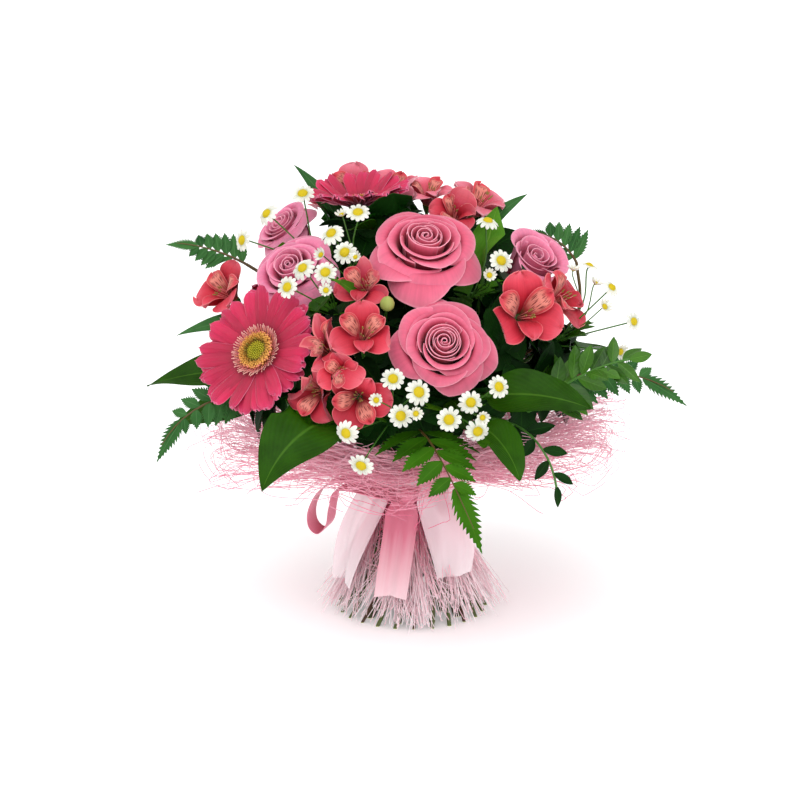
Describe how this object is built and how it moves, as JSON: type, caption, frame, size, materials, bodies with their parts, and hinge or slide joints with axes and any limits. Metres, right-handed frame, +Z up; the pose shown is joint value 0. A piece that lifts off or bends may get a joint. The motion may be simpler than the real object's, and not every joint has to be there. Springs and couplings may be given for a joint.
{
  "type": "rose bouquet",
  "caption": "Hand-tied rose bouquet with gerberas, alstroemerias, feverfew, leaves and fern, in a sisal wrap with ribbons, standing on its cut stems.",
  "frame": {"origin": "middle of the central stem's cut end, on the surface the bouquet stands on", "axes": "+Z up, along the tie; -Y towards the front of the bouquet; +X to the viewer's right"},
  "size_m": [0.3765, 0.3584, 0.3028],
  "materials": {
    "rose_petal": "soft satin petal",
    "gerbera_ray": "satin petal",
    "gerbera_disc": "matt, tufted",
    "alstroemeria": "satin petal",
    "feverfew": "matt petal",
    "stem": "waxy",
    "leaf": "glossy leaf",
    "fern": "satin leaf",
    "sisal": "rough fibres",
    "satin": "satin weave",
    "organza": "sheer weave",
    "twine": "twisted fibre"
  },
  "bodies": {
    "root": {"alstroemeria_back": "alstroemeria", "alstroemeria_centre": "alstroemeria", "alstroemeria_front": "alstroemeria", "alstroemeria_left": "alstroemeria", "alstroemeria_right": "alstroemeria", "alstroemeria_upper": "alstroemeria", "alstroemeria_upper_left": "alstroemeria", "alstroemeria_upper_right": "alstroemeria", "binding_twine": "twine", "fern_back": "fern", "fern_far_right": "fern", "fern_front": "fern", "fern_low_left": "fern", "fern_upper_left": "fern", "fern_upper_right": "fern", "feverfew_back": "feverfew", "feverfew_centre": "feverfew", "feverfew_front": "feverfew", "feverfew_front_right": "feverfew", "feverfew_left": "feverfew", "feverfew_right": "feverfew", "feverfew_upper_left": "feverfew", "feverfew_upper_right": "feverfew", "gerbera_back_disc": "gerbera_disc", "gerbera_back_rays": "gerbera_ray", "gerbera_back_stem": "stem", "gerbera_left_disc": "gerbera_disc", "gerbera_left_rays": "gerbera_ray", "gerbera_left_stem": "stem", "gerbera_top_disc": "gerbera_disc", "gerbera_top_rays": "gerbera_ray", "gerbera_top_stem": "stem", "leaf_back": "leaf", "leaf_back_left": "leaf", "leaf_back_right": "leaf", "leaf_far_left": "leaf", "leaf_front_left": "leaf", "leaf_front_right": "leaf", "leaf_low_left": "leaf", "leaf_lower_right": "leaf", "leaf_upper_right": "leaf", "organza_ribbon": "organza", "rose_back_bloom": "rose_petal", "rose_back_right_bloom": "rose_petal", "rose_back_right_stem": "stem", "rose_back_stem": "stem", "rose_far_left_bloom": "rose_petal", "rose_far_left_stem": "stem", "rose_front_bloom": "rose_petal", "rose_front_stem": "stem", "rose_left_bloom": "rose_petal", "rose_left_stem": "stem", "rose_right_bloom": "rose_petal", "rose_right_stem": "stem", "rose_upper_bloom": "rose_petal", "rose_upper_stem": "stem", "satin_ribbon": "satin", "sisal_wrap": "sisal", "sprig_low_right": "leaf", "sprig_right": "leaf"}
  },
  "joints": []
}
